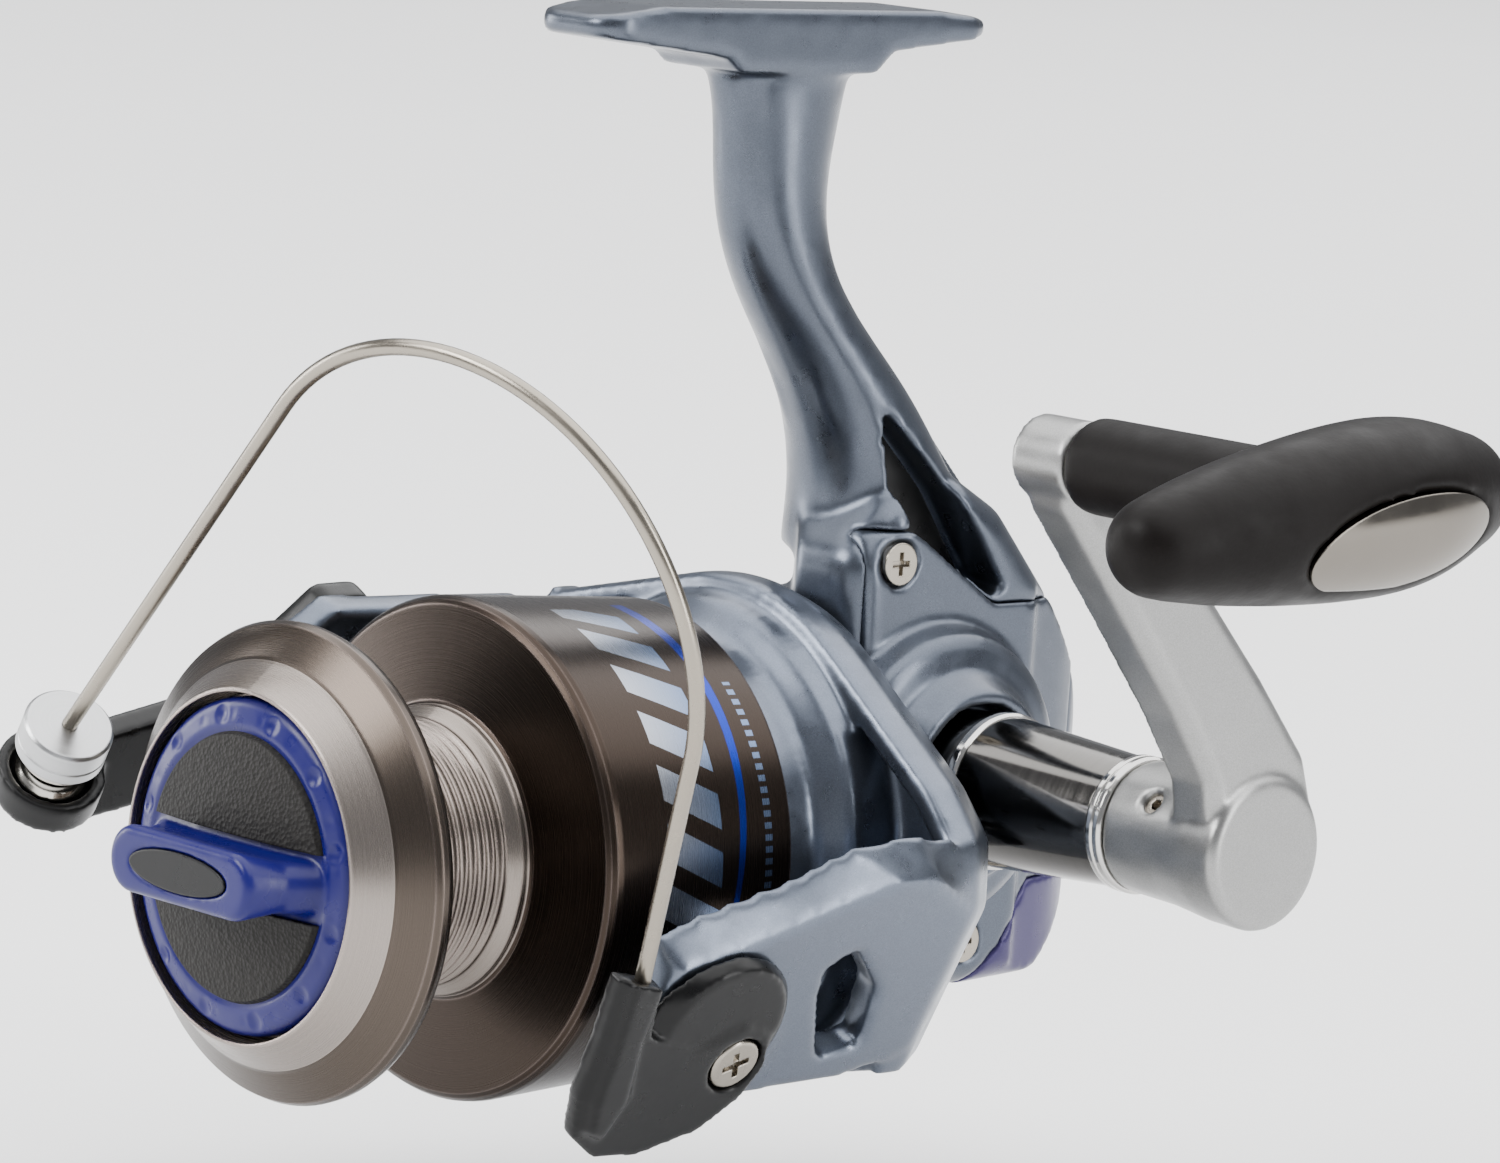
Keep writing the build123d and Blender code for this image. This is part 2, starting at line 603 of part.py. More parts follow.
def make_holder(wire):
    """Dish on the near pivot with a leaf and a sleeve that carries the wire's end."""
    foot = disc_face(arm_plane(HOLDER_FACE), HOLDER_BASE)
    top = disc_face(arm_plane(HOLDER_FACE + 2.4), HOLDER_TOP)
    ridge_foot = arm_face(arm_plane(HOLDER_FACE + 0.3), RIDGE_FOOT)
    ridge_top = arm_face(arm_plane(HOLDER_FACE + 4.6), RIDGE_TOP)
    leaf = arm_face(arm_plane(HOLDER_FACE + 0.3), HOLDER_LEAF)
    with BuildPart() as bail_holder:
        loft([foot, top])
        extrude(leaf, amount=2.5)
        loft([ridge_foot, ridge_top], ruled=True)
        with BuildSketch(arm_plane(HOLDER_FACE - 1)):
            with Locations((PIVOT_BACK, 0)):
                Circle(3.0 + RUNNING_GAP)
        extrude(amount=10, mode=Mode.SUBTRACT)
        with BuildSketch(arm_plane(43.2)):
            with Locations((PIVOT_BACK, 0)):
                Circle(3.9)
        extrude(amount=10, mode=Mode.SUBTRACT)
        add(wire.part, mode=Mode.SUBTRACT)
    return bail_holder


def disc_face(plane, disc):
    back, w, radius = disc
    with BuildSketch(plane) as sketch:
        with Locations((back, w)):
            Circle(radius)
    return sketch.sketch.face()


def make_lever():
    """Black arm from the far pivot to the cup under the line roller."""
    cup_plane = ROLLER_TOP.offset(-13.2)
    with BuildPart() as bail_lever:
        with BuildSketch(far_arm_plane(HOLDER_FACE)):
            with BuildLine():
                Polyline(*LEVER, close=True)
            make_face()
            fillet(vertices(), 1.8)
        extrude(amount=4.2)
        fillet(bail_lever.faces().sort_by(Axis(AXIS_POINT, -U_DIR))[-1].edges(), 1.2)
        with BuildSketch(far_arm_plane(HOLDER_FACE - 1)):
            with Locations((PIVOT_BACK, 0)):
                Circle(3.0 + RUNNING_GAP)
        extrude(amount=10, mode=Mode.SUBTRACT)
        with BuildSketch(far_arm_plane(43.2)):
            with Locations((PIVOT_BACK, 0)):
                Circle(3.9)
        extrude(amount=10, mode=Mode.SUBTRACT)
        with BuildSketch(cup_plane):
            Circle(6.9)
        extrude(amount=4.6)
        with BuildSketch(cup_plane.offset(2.8)):
            Circle(5.3)
        extrude(amount=12, mode=Mode.SUBTRACT)
        with BuildSketch(cup_plane.offset(-1)):
            Circle(1.5)
        extrude(amount=14, mode=Mode.SUBTRACT)
        with BuildSketch(cup_plane):
            Circle(3.1)
        extrude(amount=-4, mode=Mode.SUBTRACT)
    return bail_lever


def on_roller(outline):
    """A closed (distance below the cap's top, radius) outline turned about the roller's axis."""
    axis = Axis(ROLLER_TOP.origin, -ROLLER_TOP.z_dir)
    plane = Plane(origin=ROLLER_TOP.origin, x_dir=-ROLLER_TOP.z_dir, z_dir=ROLLER_TOP.x_dir)
    return turned(outline, axis, plane)


def bail_parts():
    wire = make_wire()
    save(wire, "bail_wire")
    save(make_holder(wire), "bail_holder")
    save(make_lever(), "bail_lever")
    cap_shape = on_roller([(0, 0), (0, 5.3), (0.4, 5.7), (3.0, 5.7), (3.2, 5.5), (3.4, 5.7), (4.8, 5.7),
                           (5.2, 5.3), (5.2, 4.6), (5.6, 4.4), (5.6, 1.5), (1.2, 1.5), (1.2, 0)])
    with BuildPart() as roller_cap:
        add(cap_shape.part)
        add(wire.part, mode=Mode.SUBTRACT)
    save(roller_cap, "line_roller_cap")
    save(on_roller([(5.9, 2.65), (5.9, 4.3), (6.4, 4.6), (7.2, 4.0), (7.9, 3.7), (8.7, 4.0), (9.5, 4.6),
                    (10.0, 4.3), (10.0, 2.65)]), "line_roller")
    save(on_roller([(5.65, 1.5), (5.65, 2.6), (10.35, 2.6), (10.35, 1.5)]), "roller_bush")
    save(on_roller([(1.2, 0), (1.2, 1.5), (13.2, 1.5), (13.2, 2.9), (14.2, 2.6), (14.2, 0)]), "roller_screw")
    with BuildPart() as bail_screws:
        for plane_at in (arm_plane, far_arm_plane):
            place = shifted(plane_at(BOSS_FACE), (PIVOT_BACK, 0))
            with BuildSketch(place):
                Circle(3.0)
            extrude(amount=1.65)
            with BuildSketch(place.offset(1.65)):
                Circle(3.55)
            extrude(amount=1.25)
            fillet(bail_screws.faces().sort_by(Axis(place.origin, place.z_dir))[-1].edges(), 0.5)
            with BuildSketch(place.offset(3)):
                Rectangle(3.9, 0.9, rotation=20)
                Rectangle(0.9, 3.9, rotation=20)
            extrude(amount=-1.0, mode=Mode.SUBTRACT)
            with BuildSketch(place):
                Circle(1.6)
            extrude(amount=-4.9)
    save(bail_screws, "bail_screws")


# ---------------------------------------------------------------- spool and drag
GROOVES = 10
GROOVE_FRONT = -19.2
GROOVE_REAR = -5.4
DRAG_POCKET_R = 13.0
KNOB_R = 20.3
WING_SECTIONS = [(-33.0, 33.0, 6.4, 3.0), (-36.5, 29.0, 6.2, 3.0), (-42.0, 26.5, 8.8, 4.3)]


def arbor_outline():
    """Grooved arbor, from the skirt forward."""
    points = [(-4.8, ARBOR_R)]
    pitch = (GROOVE_FRONT - GROOVE_REAR) / GROOVES
    for groove in range(GROOVES):
        start = GROOVE_REAR + groove * pitch
        points += [(start, ARBOR_R), (start + 0.3 * pitch, ARBOR_R - 0.55), (start + 0.7 * pitch, ARBOR_R - 0.55)]
    points += [(GROOVE_FRONT, ARBOR_R), (-20.4, ARBOR_R)]
    return points


def make_spool():
    outline = [(6.0, SHAFT_R + RUNNING_GAP), (6.0, 5.0), (-20.6, 5.0), (-20.6, 14.4), (0.6, 14.4), (0.6, 16.4),
               (0.9, 28.4), (2.2, SKIRT_R - SKIRT_WALL), (SKIRT_LENGTH, SKIRT_REAR_R - SKIRT_WALL),
               (SKIRT_LENGTH, SKIRT_REAR_R), (1.0, SKIRT_R), (0.2, 30.9), (-0.5, 30.5), (-0.9, 29.9),
               (-2.2, 18.3), (-2.6, 17.8), (-3.4, 17.7), (-4.2, 16.9)]
    outline += arbor_outline()
    outline += [(-21.4, 17.4), (-22.7, 27.4), (-23.5, 28.6), (-24.4, 29.0), (LIP_BACK, LIP_R), (-26.2, 28.7),
                (-26.8, 27.8), (-28.7, 24.9), (-29.3, 24.3), (-32.9, 21.4), (-33.0, 21.0), (-27.4, 20.9),
                (-27.4, DRAG_POCKET_R), (-23.4, DRAG_POCKET_R), (-23.4, SHAFT_R + RUNNING_GAP)]
    return turned(outline)


def make_drag_knob():
    outline = [(-33.8, 0), (-33.6, 8), (-32.7, 16.3), (-33.0, 17.0), (-32.5, 19.5), (-31.9, 20.2), (-31.2, KNOB_R),
               (-28.6, KNOB_R), (-28.6, 18.8), (-31.0, 18.8), (-31.2, 7.4), (-28.6, 7.4), (-28.6, 4.4),
               (-33.0, 4.4), (-33.0, 0)]
    base = turned(outline)
    with BuildPart() as drag_knob:
        for back, long, high, corner in WING_SECTIONS:
            with BuildSketch(front_plane(back)):
                RectangleRounded(long, high, corner)
        loft(ruled=True)
        fillet(drag_knob.faces().sort_by(Axis.Y)[0].edges(), 1.1)
        add(base.part)
        with BuildSketch(front_plane(-42.2)):
            Ellipse(9.2, 2.5)
        extrude(amount=-0.9, mode=Mode.SUBTRACT)
        with BuildSketch(front_plane(-33.4)):
            with PolarLocations(18.3, 20, start_angle=9):
                Circle(0.5)
        extrude(amount=-0.8, mode=Mode.SUBTRACT)
    return drag_knob


def make_knob_inserts():
    """Two textured half-moon panels beside the wing and the oval on the wing's front."""
    disc = turned([(-33.8, 0), (-33.6, 8), (-32.7, 16.3), (-33.5, 15.9), (-34.3, 8), (-34.5, 0)])
    with BuildPart() as knob_panels:
        add(disc.part)
        with BuildSketch(front_plane(-30)):
            RectangleRounded(44, 8.4, 3)
        extrude(amount=8, mode=Mode.SUBTRACT)
    with BuildPart() as wing_inlay:
        with BuildSketch(front_plane(-41.3)):
            Ellipse(9.1, 2.4)
        extrude(amount=0.8)
    return knob_panels, wing_inlay


def spool_parts():
    save(make_spool(), "spool")
    save(make_drag_knob(), "drag_knob")
    knob_panels, wing_inlay = make_knob_inserts()
    save(knob_panels, "knob_panels")
    save(wing_inlay, "wing_inlay")
    with BuildPart() as drag_nut:
        with BuildSketch(front_plane(-29.6)):
            RegularPolygon(4.3, 6)
            Circle(SHAFT_R + RUNNING_GAP, mode=Mode.SUBTRACT)
        extrude(amount=3.2)
    save(drag_nut, "drag_nut")
    with BuildPart() as steel_washers:
        for back in (-23.5, -24.7, -25.9):
            with BuildSketch(front_plane(back)):
                Circle(12.2)
                Circle(SHAFT_R, mode=Mode.SUBTRACT)
            extrude(amount=0.5)
    save(steel_washers, "drag_washers_steel")
    with BuildPart() as felt_washers:
        for back in (-24.1, -25.3):
            with BuildSketch(front_plane(back)):
                Circle(DRAG_POCKET_R)
                Circle(4.0, mode=Mode.SUBTRACT)
            extrude(amount=0.5)
    save(felt_washers, "drag_washers_felt")
    with BuildPart() as drag_clip:
        with BuildSketch(front_plane(-26.5)):
            RegularPolygon(DRAG_POCKET_R - 0.05, 6)
            RegularPolygon(DRAG_POCKET_R - 1.1, 6, mode=Mode.SUBTRACT)
        extrude(amount=0.8)
    save(drag_clip, "drag_clip")
    with BuildPart() as main_shaft:
        with BuildSketch(front_plane(96.0)):
            Circle(SHAFT_R)
        extrude(amount=96.0 + 32.6)
    save(main_shaft, "main_shaft")
    with BuildPart() as click_gear:
        with BuildSketch(front_plane(8.6)):
            Polygon(*gear_outline(24, 6.4, 5.6), align=None)
            Circle(SHAFT_R, mode=Mode.SUBTRACT)
        extrude(amount=1.8)
    save(click_gear, "click_gear")
    with BuildPart() as click_pawl:
        with BuildSketch(front_plane(2.6)):
            with Locations((0, 11.8)):
                Circle(1.6)
        extrude(amount=1.9)
        with BuildSketch(front_plane(8.4)):
            with Locations((0, 11.8)):
                Circle(1.6)
            with Locations((0, 9.2)):
                Rectangle(1.2, 3.8)
        extrude(amount=5.8)
    save(click_pawl, "click_pawl")
    with BuildPart() as slider:
        with BuildSketch(side_plane(-3.8)):
            with Locations((SLOW_BACK + CRANK_R, 2.4)):
                Rectangle(SLIDER_DEEP, 25.4)
        extrude(amount=8.2)
        with BuildSketch(side_plane(-6.2)):
            with Locations((SLOW_BACK + CRANK_R, SLOW_UP)):
                Rectangle(SLIDER_DEEP, 22.6)
                SlotOverall(20.6, 3.4, rotation=90, mode=Mode.SUBTRACT)
        extrude(amount=2.4)
        with BuildSketch(front_plane(110)):
            Circle(SHAFT_R)
            for spot in GUIDE_RODS:
                with Locations(spot):
                    Circle(1.2 + RUNNING_GAP)
        extrude(amount=60, mode=Mode.SUBTRACT)
    save(slider, "slider")
    with BuildPart() as slider_screw:
        with BuildSketch(Plane(origin=front_plane(96.0).origin, z_dir=(0, 1, 0))):
            Circle(2.6)
        extrude(amount=1.2)
    save(slider_screw, "slider_screw")


# ---------------------------------------------------------------- handle
DRIVE_SHAFT_R = 4.45
CRANK_OUTLINE = [(30.2, 53.2), (31.6, 49.8), (42.6, 36.8), (52.9, 24.3), (59.0, 15.6), (60.0, 10), (68.5, -2.4),
                 (76.0, 1.0), (78.4, 10.5), (75.6, 18.6), (67.2, 28.4), (57.8, 38.3), (48, 48.4), (38.6, 57.6)]
BAR_TILT = 5.4
BAR_PROFILE = [(-25.6, 5.8), (-16, 7.8), (-5, 9.3), (7, 10.2), (17, 9.5), (24.4, 7.2)]
BAR_TIPS = [(-30, 1.2), (-28.9, 3.9), (28.7, 4.6), (30, 1.2)]
INSERT_SPOT = (6.5, -2.6)


def make_drive_gear():
    """Face gear: a disc whose teeth stand towards the pinion."""
    disc = turned_on_handle([(7.2, DRIVE_SHAFT_R), (7.2, DRIVE_GEAR_R), (9.2, DRIVE_GEAR_R), (9.2, 8), (10.2, 6.4),
                             (10.2, DRIVE_SHAFT_R)])
    with BuildPart() as drive_gear:
        add(disc.part)
        with BuildSketch(side_plane(7.2)):
            with Locations((GEAR_BACK, GEAR_UP)):
                with PolarLocations(DRIVE_GEAR_R - 2.2, DRIVE_TEETH):
                    Rectangle(4.2, 0.62)
        extrude(amount=-2.1)
    return drive_gear


def make_crank_arm():
    hub = turned_on_handle([(51.5, DRIVE_SHAFT_R), (51.5, 8.2), (60, 8.6), (66, 9.4), (71.0, 9.6), (71.8, 8.9),
                            (71.8, 0), (60, 0), (60, DRIVE_SHAFT_R)])
    with BuildPart() as crank_arm:
        with BuildSketch(side_plane(63.6)):
            with BuildLine():
                Polyline(*CRANK_OUTLINE, close=True)
            make_face()
            fillet(vertices(), 2.6)
        extrude(amount=7.4)
        chamfer(crank_arm.faces().sort_by(Axis.X)[-1].edges(), 1.4)
        add(hub.part)
        with BuildSketch(side_plane(62.4)):
            with Locations((KNOB_BACK, KNOB_UP)):
                Circle(5.0)
        extrude(amount=GRIP_X - 0.5 - 62.4)
        fillet(crank_arm.faces().sort_by(Axis.X)[-1].edges(), 0.3)
        with BuildSketch(side_plane(50)):
            with Locations((KNOB_BACK, KNOB_UP)):
                Circle(2.2)
        extrude(amount=40, mode=Mode.SUBTRACT)
        with BuildSketch(SET_SCREW_FACE):
            Circle(1.5)
        extrude(amount=-7, mode=Mode.SUBTRACT)
    return crank_arm


SET_SCREW_FACE = Plane(origin=HANDLE_AXIS.position + Vector(58.5, -7.4, 5.2), x_dir=(1, 0, 0),
                       z_dir=(0, -0.818, 0.575))


def make_grip():
    """T-shaped rubber grip: a round stem and a fat bar across its end."""
    bar_plane = shifted(side_plane(BAR_X), (31.0, 54.9), BAR_TILT)
    with BuildPart() as bar:
        with BuildSketch(bar_plane):
            with BuildLine():
                ThreePointArc(BAR_TIPS[0], BAR_TIPS[1], BAR_PROFILE[0])
                Spline(*BAR_PROFILE, tangents=((1, 0.25), (1, -0.4)))
                ThreePointArc(BAR_PROFILE[-1], BAR_TIPS[2], BAR_TIPS[3])
                Polyline(BAR_TIPS[3], (BAR_TIPS[3][0], 0), (BAR_TIPS[0][0], 0), BAR_TIPS[0])
            make_face()
        revolve(axis=Axis(bar_plane.origin, bar_plane.x_dir))
    insert_plane = shifted(bar_plane, INSERT_SPOT)
    with BuildPart() as cutter:
        with BuildSketch(insert_plane):
            Ellipse(14.5, 5.4, rotation=4)
        extrude(amount=20)
    with BuildPart() as grip:
        add(bar.part)
        with BuildSketch(side_plane(GRIP_X)):
            with Locations((KNOB_BACK, KNOB_UP)):
                Circle(5.8)
        extrude(amount=BAR_X - GRIP_X - 6)
        with BuildSketch(side_plane(GRIP_X - 1)):
            with Locations((KNOB_BACK, KNOB_UP)):
                Circle(3.6)
        extrude(amount=27, mode=Mode.SUBTRACT)
    with BuildPart() as insert:
        add(bar.part)
        add(cutter.part, mode=Mode.INTERSECT)
        with BuildSketch(insert_plane.offset(-12)):
            Rectangle(60, 40)
        extrude(amount=18.4, mode=Mode.SUBTRACT)
    with BuildPart() as hollow_grip:
        add(grip.part)
        add(insert.part, mode=Mode.SUBTRACT)
    return hollow_grip, insert


def handle_parts():
    save(make_drive_gear(), "drive_gear")
    save(turned_on_handle([(-17.0, 0), (-17.0, DRIVE_SHAFT_R), (59.8, DRIVE_SHAFT_R), (59.8, 0)]), "drive_shaft")
    with BuildPart() as slow_pinion:
        with BuildSketch(side_plane(-9.8)):
            with Locations((GEAR_BACK, GEAR_UP)):
                Polygon(*gear_outline(SLOW_PINION_TEETH, 5.6, DRIVE_SHAFT_R + 0.6), align=None)
                Circle(DRIVE_SHAFT_R, mode=Mode.SUBTRACT)
        extrude(amount=2.6)
    save(slow_pinion, "oscillation_pinion")
    save(turned_on_handle([
        (17.8, DRIVE_SHAFT_R), (17.8, 9.4), (25.0, 9.4), (25.0, 9.0), (26.8, 9.0), (26.8, COLLAR_R1),
        (48.9, COLLAR_R2 + 0.1), (48.9, 7.7), (51.5, 7.7), (51.5, DRIVE_SHAFT_R)]), "handle_collar")
    first_ring = turned_on_handle([(25.0, 9.0), (25.0, 9.7), (25.4, 10.0), (26.4, 10.0), (26.8, 9.7), (26.8, 9.0)])
    second_ring = turned_on_handle([(48.9, 7.7), (48.9, 8.3), (49.3, 8.6), (50.0, 8.6), (50.2, 8.3), (50.4, 8.6),
                                    (51.1, 8.6), (51.5, 8.3), (51.5, 7.7)])
    with BuildPart() as collar_rings:
        add(first_ring.part)
        add(second_ring.part)
    save(collar_rings, "collar_rings")
    save(make_crank_arm(), "crank_arm")
    with BuildPart() as set_screw:
        with BuildSketch(SET_SCREW_FACE.offset(-1.6)):
            Circle(1.5)
            RegularPolygon(0.8, 6, mode=Mode.SUBTRACT)
        extrude(amount=-1.4)
        with BuildSketch(SET_SCREW_FACE.offset(-3.0)):
            Circle(1.5)
        extrude(amount=-1.2)
    save(set_screw, "handle_set_screw")
    grip, insert = make_grip()
    save(grip, "grip")
    save(insert, "grip_insert")
    stem_plane = shifted(side_plane(63.0), (KNOB_BACK, KNOB_UP))
    with BuildPart() as knob_shaft:
        with BuildSketch(stem_plane):
            Circle(2.2)
        extrude(amount=31.0)
        with BuildSketch(stem_plane.offset(31.0)):
            Circle(3.0)
        extrude(amount=1.0)
    save(knob_shaft, "knob_shaft")
    for name, x in (("grip_bush_inner", GRIP_X + 0.2), ("grip_bush_outer", 88.6)):
        save(ring(shifted(side_plane(x), (KNOB_BACK, KNOB_UP)), 3.6, 2.2 + RUNNING_GAP, 4.6), name)
    with BuildPart() as slow_gear:
        with BuildSketch(side_plane(-9.8)):
            with Locations((SLOW_BACK, SLOW_UP)):
                Polygon(*gear_outline(SLOW_GEAR_TEETH, 10.1, 9.0), align=None)
                Circle(2 + RUNNING_GAP, mode=Mode.SUBTRACT)
        extrude(amount=2.6)
        with BuildSketch(side_plane(-7.2)):
            with Locations((SLOW_BACK + CRANK_R, SLOW_UP)):
                Circle(1.5)
        extrude(amount=0.7)
    save(slow_gear, "oscillation_gear")


os.makedirs("parts", exist_ok=True)
body_parts()
rotor_parts()
bail_parts()
spool_parts()
handle_parts()
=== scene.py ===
import json
import math

import bmesh
import bpy
from mathutils import Matrix, Vector


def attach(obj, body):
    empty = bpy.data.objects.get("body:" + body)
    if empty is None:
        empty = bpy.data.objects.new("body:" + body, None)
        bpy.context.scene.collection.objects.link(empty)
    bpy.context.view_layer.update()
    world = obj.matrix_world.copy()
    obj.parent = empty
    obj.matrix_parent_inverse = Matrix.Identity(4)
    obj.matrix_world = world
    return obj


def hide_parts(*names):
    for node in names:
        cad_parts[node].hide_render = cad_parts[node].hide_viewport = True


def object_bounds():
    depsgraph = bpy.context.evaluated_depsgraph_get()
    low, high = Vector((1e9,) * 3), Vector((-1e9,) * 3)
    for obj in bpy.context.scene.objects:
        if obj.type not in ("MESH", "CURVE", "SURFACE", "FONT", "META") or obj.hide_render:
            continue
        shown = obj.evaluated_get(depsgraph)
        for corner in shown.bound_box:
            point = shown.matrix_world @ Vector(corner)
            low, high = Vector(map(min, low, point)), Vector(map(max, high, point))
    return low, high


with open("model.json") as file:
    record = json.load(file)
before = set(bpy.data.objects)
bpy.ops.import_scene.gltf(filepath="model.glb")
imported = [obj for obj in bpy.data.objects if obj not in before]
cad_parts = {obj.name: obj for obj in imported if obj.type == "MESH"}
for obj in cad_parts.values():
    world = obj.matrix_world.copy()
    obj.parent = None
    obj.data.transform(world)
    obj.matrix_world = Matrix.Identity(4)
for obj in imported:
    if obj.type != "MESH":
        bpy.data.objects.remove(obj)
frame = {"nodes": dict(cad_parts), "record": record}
CAD_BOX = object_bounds()

MM = 0.001
JOINTS = {joint["name"]: joint for joint in frame["record"]["behaviour"]["joints"]}
AXIS_Y, AXIS_Z = JOINTS["rotor_spin"]["pos_m"][1:]      # front edge of the spool's skirt, on its axis


# ---------------------------------------------------------------- shader helpers
class Shader:
    """A material under construction: its node tree, with short calls for the nodes used here."""

    def __init__(self, name):
        self.material = bpy.data.materials.new(name)
        self.material.use_nodes = True
        self.tree = self.material.node_tree
        self.principled = self.tree.nodes["Principled BSDF"]
        self.place = self.node("ShaderNodeTexCoord").outputs["Object"]
        self.normal = None

    def node(self, kind, **settings):
        made = self.tree.nodes.new(kind)
        for key, value in settings.items():
            setattr(made, key, value)
        return made

    def feed(self, socket, value):
        if isinstance(value, bpy.types.NodeSocket):
            self.tree.links.new(value, socket)
        else:
            socket.default_value = value

    def math(self, operation, *values, clamp=False):
        made = self.node("ShaderNodeMath", operation=operation, use_clamp=clamp)
        for socket, value in zip(made.inputs, values):
            self.feed(socket, value)
        return made.outputs[0]

    def noise(self, scale, detail=3.0, roughness=0.55, place=None):
        made = self.node("ShaderNodeTexNoise")
        self.feed(made.inputs["Vector"], place or self.place)
        made.inputs["Scale"].default_value = scale
        made.inputs["Detail"].default_value = detail
        made.inputs["Roughness"].default_value = roughness
        return made.outputs["Fac"]

    def span(self, value, low, high, to_low, to_high):
        made = self.node("ShaderNodeMapRange")
        for key, number in zip(("From Min", "From Max", "To Min", "To Max"), (low, high, to_low, to_high)):
            made.inputs[key].default_value = number
        self.feed(made.inputs["Value"], value)
        return made.outputs["Result"]

    def mix(self, factor, first, second):
        made = self.node("ShaderNodeMix", data_type="RGBA")
        self.feed(made.inputs["Factor"], factor)
        self.feed(made.inputs["A"], first)
        self.feed(made.inputs["B"], second)
        return made.outputs["Result"]

    def ramp(self, value, stops):
        made = self.node("ShaderNodeValToRGB")
        self.feed(made.inputs["Fac"], value)
        elements = made.color_ramp.elements
        while len(elements) < len(stops):
            elements.new(0.5)
        for element, (at, colour) in zip(elements, stops):
            element.position = at
            element.color = colour
        return made.outputs["Color"]

    def combine(self, x, y, z):
        made = self.node("ShaderNodeCombineXYZ")
        for socket, value in zip(made.inputs, (x, y, z)):
            self.feed(socket, value)
        return made.outputs[0]

    def bump(self, height, strength, distance):
        made = self.node("ShaderNodeBump")
        made.inputs["Strength"].default_value = strength
        made.inputs["Distance"].default_value = distance
        self.feed(made.inputs["Height"], height)
        if self.normal:
            self.feed(made.inputs["Normal"], self.normal)
        self.normal = made.outputs["Normal"]

    def soften(self, radius):
        """Rounds the edges in the shading; returns how near each point is to an edge."""
        bevel = self.node("ShaderNodeBevel", samples=6)
        bevel.inputs["Radius"].default_value = radius
        self.normal = bevel.outputs["Normal"]
        dot = self.node("ShaderNodeVectorMath", operation="DOT_PRODUCT")
        self.feed(dot.inputs[0], self.normal)
        self.feed(dot.inputs[1], self.node("ShaderNodeNewGeometry").outputs["Normal"])
        return self.span(dot.outputs["Value"], 1.0, 0.86, 0.0, 1.0)

    def set(self, **values):
        names = {
            "colour": "Base Color", "rough": "Roughness", "metal": "Metallic", "coat": "Coat Weight",
            "coat_rough": "Coat Roughness", "specular": "Specular IOR Level", "sheen": "Sheen Weight",
            "sheen_rough": "Sheen Roughness",
        }
        for key, value in values.items():
            self.feed(self.principled.inputs[names[key]], value)

    def done(self):
        if self.normal:
            self.feed(self.principled.inputs["Normal"], self.normal)
        return self.material


def rgb(r, g, b):
    return (r, g, b, 1.0)


def scaled(colour, factor):
    return rgb(*(min(1.0, c * factor) for c in colour[:3]))


def round_place(s):
    """(radius, back, angle) about the spool axis, in millimetres and radians."""
    parts = s.node("ShaderNodeSeparateXYZ")
    s.feed(parts.inputs[0], s.place)
    x = s.math("DIVIDE", parts.outputs["X"], MM)
    back = s.math("DIVIDE", s.math("SUBTRACT", parts.outputs["Y"], AXIS_Y), MM)
    up = s.math("DIVIDE", s.math("SUBTRACT", parts.outputs["Z"], AXIS_Z), MM)
    radius = s.math("SQRT", s.math("ADD", s.math("MULTIPLY", x, x), s.math("MULTIPLY", up, up)))
    return radius, back, s.math("ARCTAN2", up, x)


# ---------------------------------------------------------------- materials
PAINT_EDGE = 0.6 * MM          # radius to which each finish rounds its edges in the shading
PLASTIC_EDGE = 0.4 * MM
METAL_EDGE = 0.3 * MM
SPOOL_EDGE = 0.5 * MM


def paint(name, colour, metal=0.9, rough=0.3):
    """Metallic paint: fine flakes under a clear coat, with a painted highlight along the edges."""
    s = Shader(name)
    edge_highlight_mask = s.soften(PAINT_EDGE)
    flakes = s.node("ShaderNodeTexVoronoi")
    s.feed(flakes.inputs["Vector"], s.place)
    flakes.inputs["Scale"].default_value = 9000
    sparkle = s.node("ShaderNodeSeparateColor")
    s.feed(sparkle.inputs[0], flakes.outputs["Color"])
    grain = s.span(sparkle.outputs["Red"], 0, 1, 0, 1)
    cloud = s.span(s.noise(45, 4), 0.3, 0.7, 0, 1)
    tone = s.mix(grain, scaled(colour, 0.88), scaled(colour, 1.14))
    tone = s.mix(s.math("MULTIPLY", cloud, 0.25), tone, scaled(colour, 0.9))
    # painted highlight: the colour is lightened along edges
    tone = s.mix(s.math("MULTIPLY", edge_highlight_mask, 0.35), tone, scaled(colour, 1.5))
    s.bump(sparkle.outputs["Green"], 0.02, 0.00005)
    s.set(colour=tone, metal=metal, rough=s.span(s.noise(300, 5), 0.3, 0.7, rough - 0.05, rough + 0.07),
          coat=0.12, coat_rough=0.18, specular=0.3)
    return s.done()


def plastic(name, colour, rough, grain=900, depth=0.05, specular=0.5):
    """Moulded plastic with a faint skin texture."""
    s = Shader(name)
    edge_highlight_mask = s.soften(PLASTIC_EDGE)
    cloud = s.noise(120, 4)
    tone = s.mix(cloud, scaled(colour, 0.85), scaled(colour, 1.15))
    # painted highlight: the colour is lightened along edges
    tone = s.mix(s.math("MULTIPLY", edge_highlight_mask, 0.3), tone, scaled(colour, 1.8))
    s.bump(s.noise(grain, 3), depth, 0.0002)
    patchy = s.span(s.noise(260, 4), 0.3, 0.7, rough - 0.06, rough + 0.08)
    s.set(colour=tone, rough=patchy, specular=specular)
    return s.done()


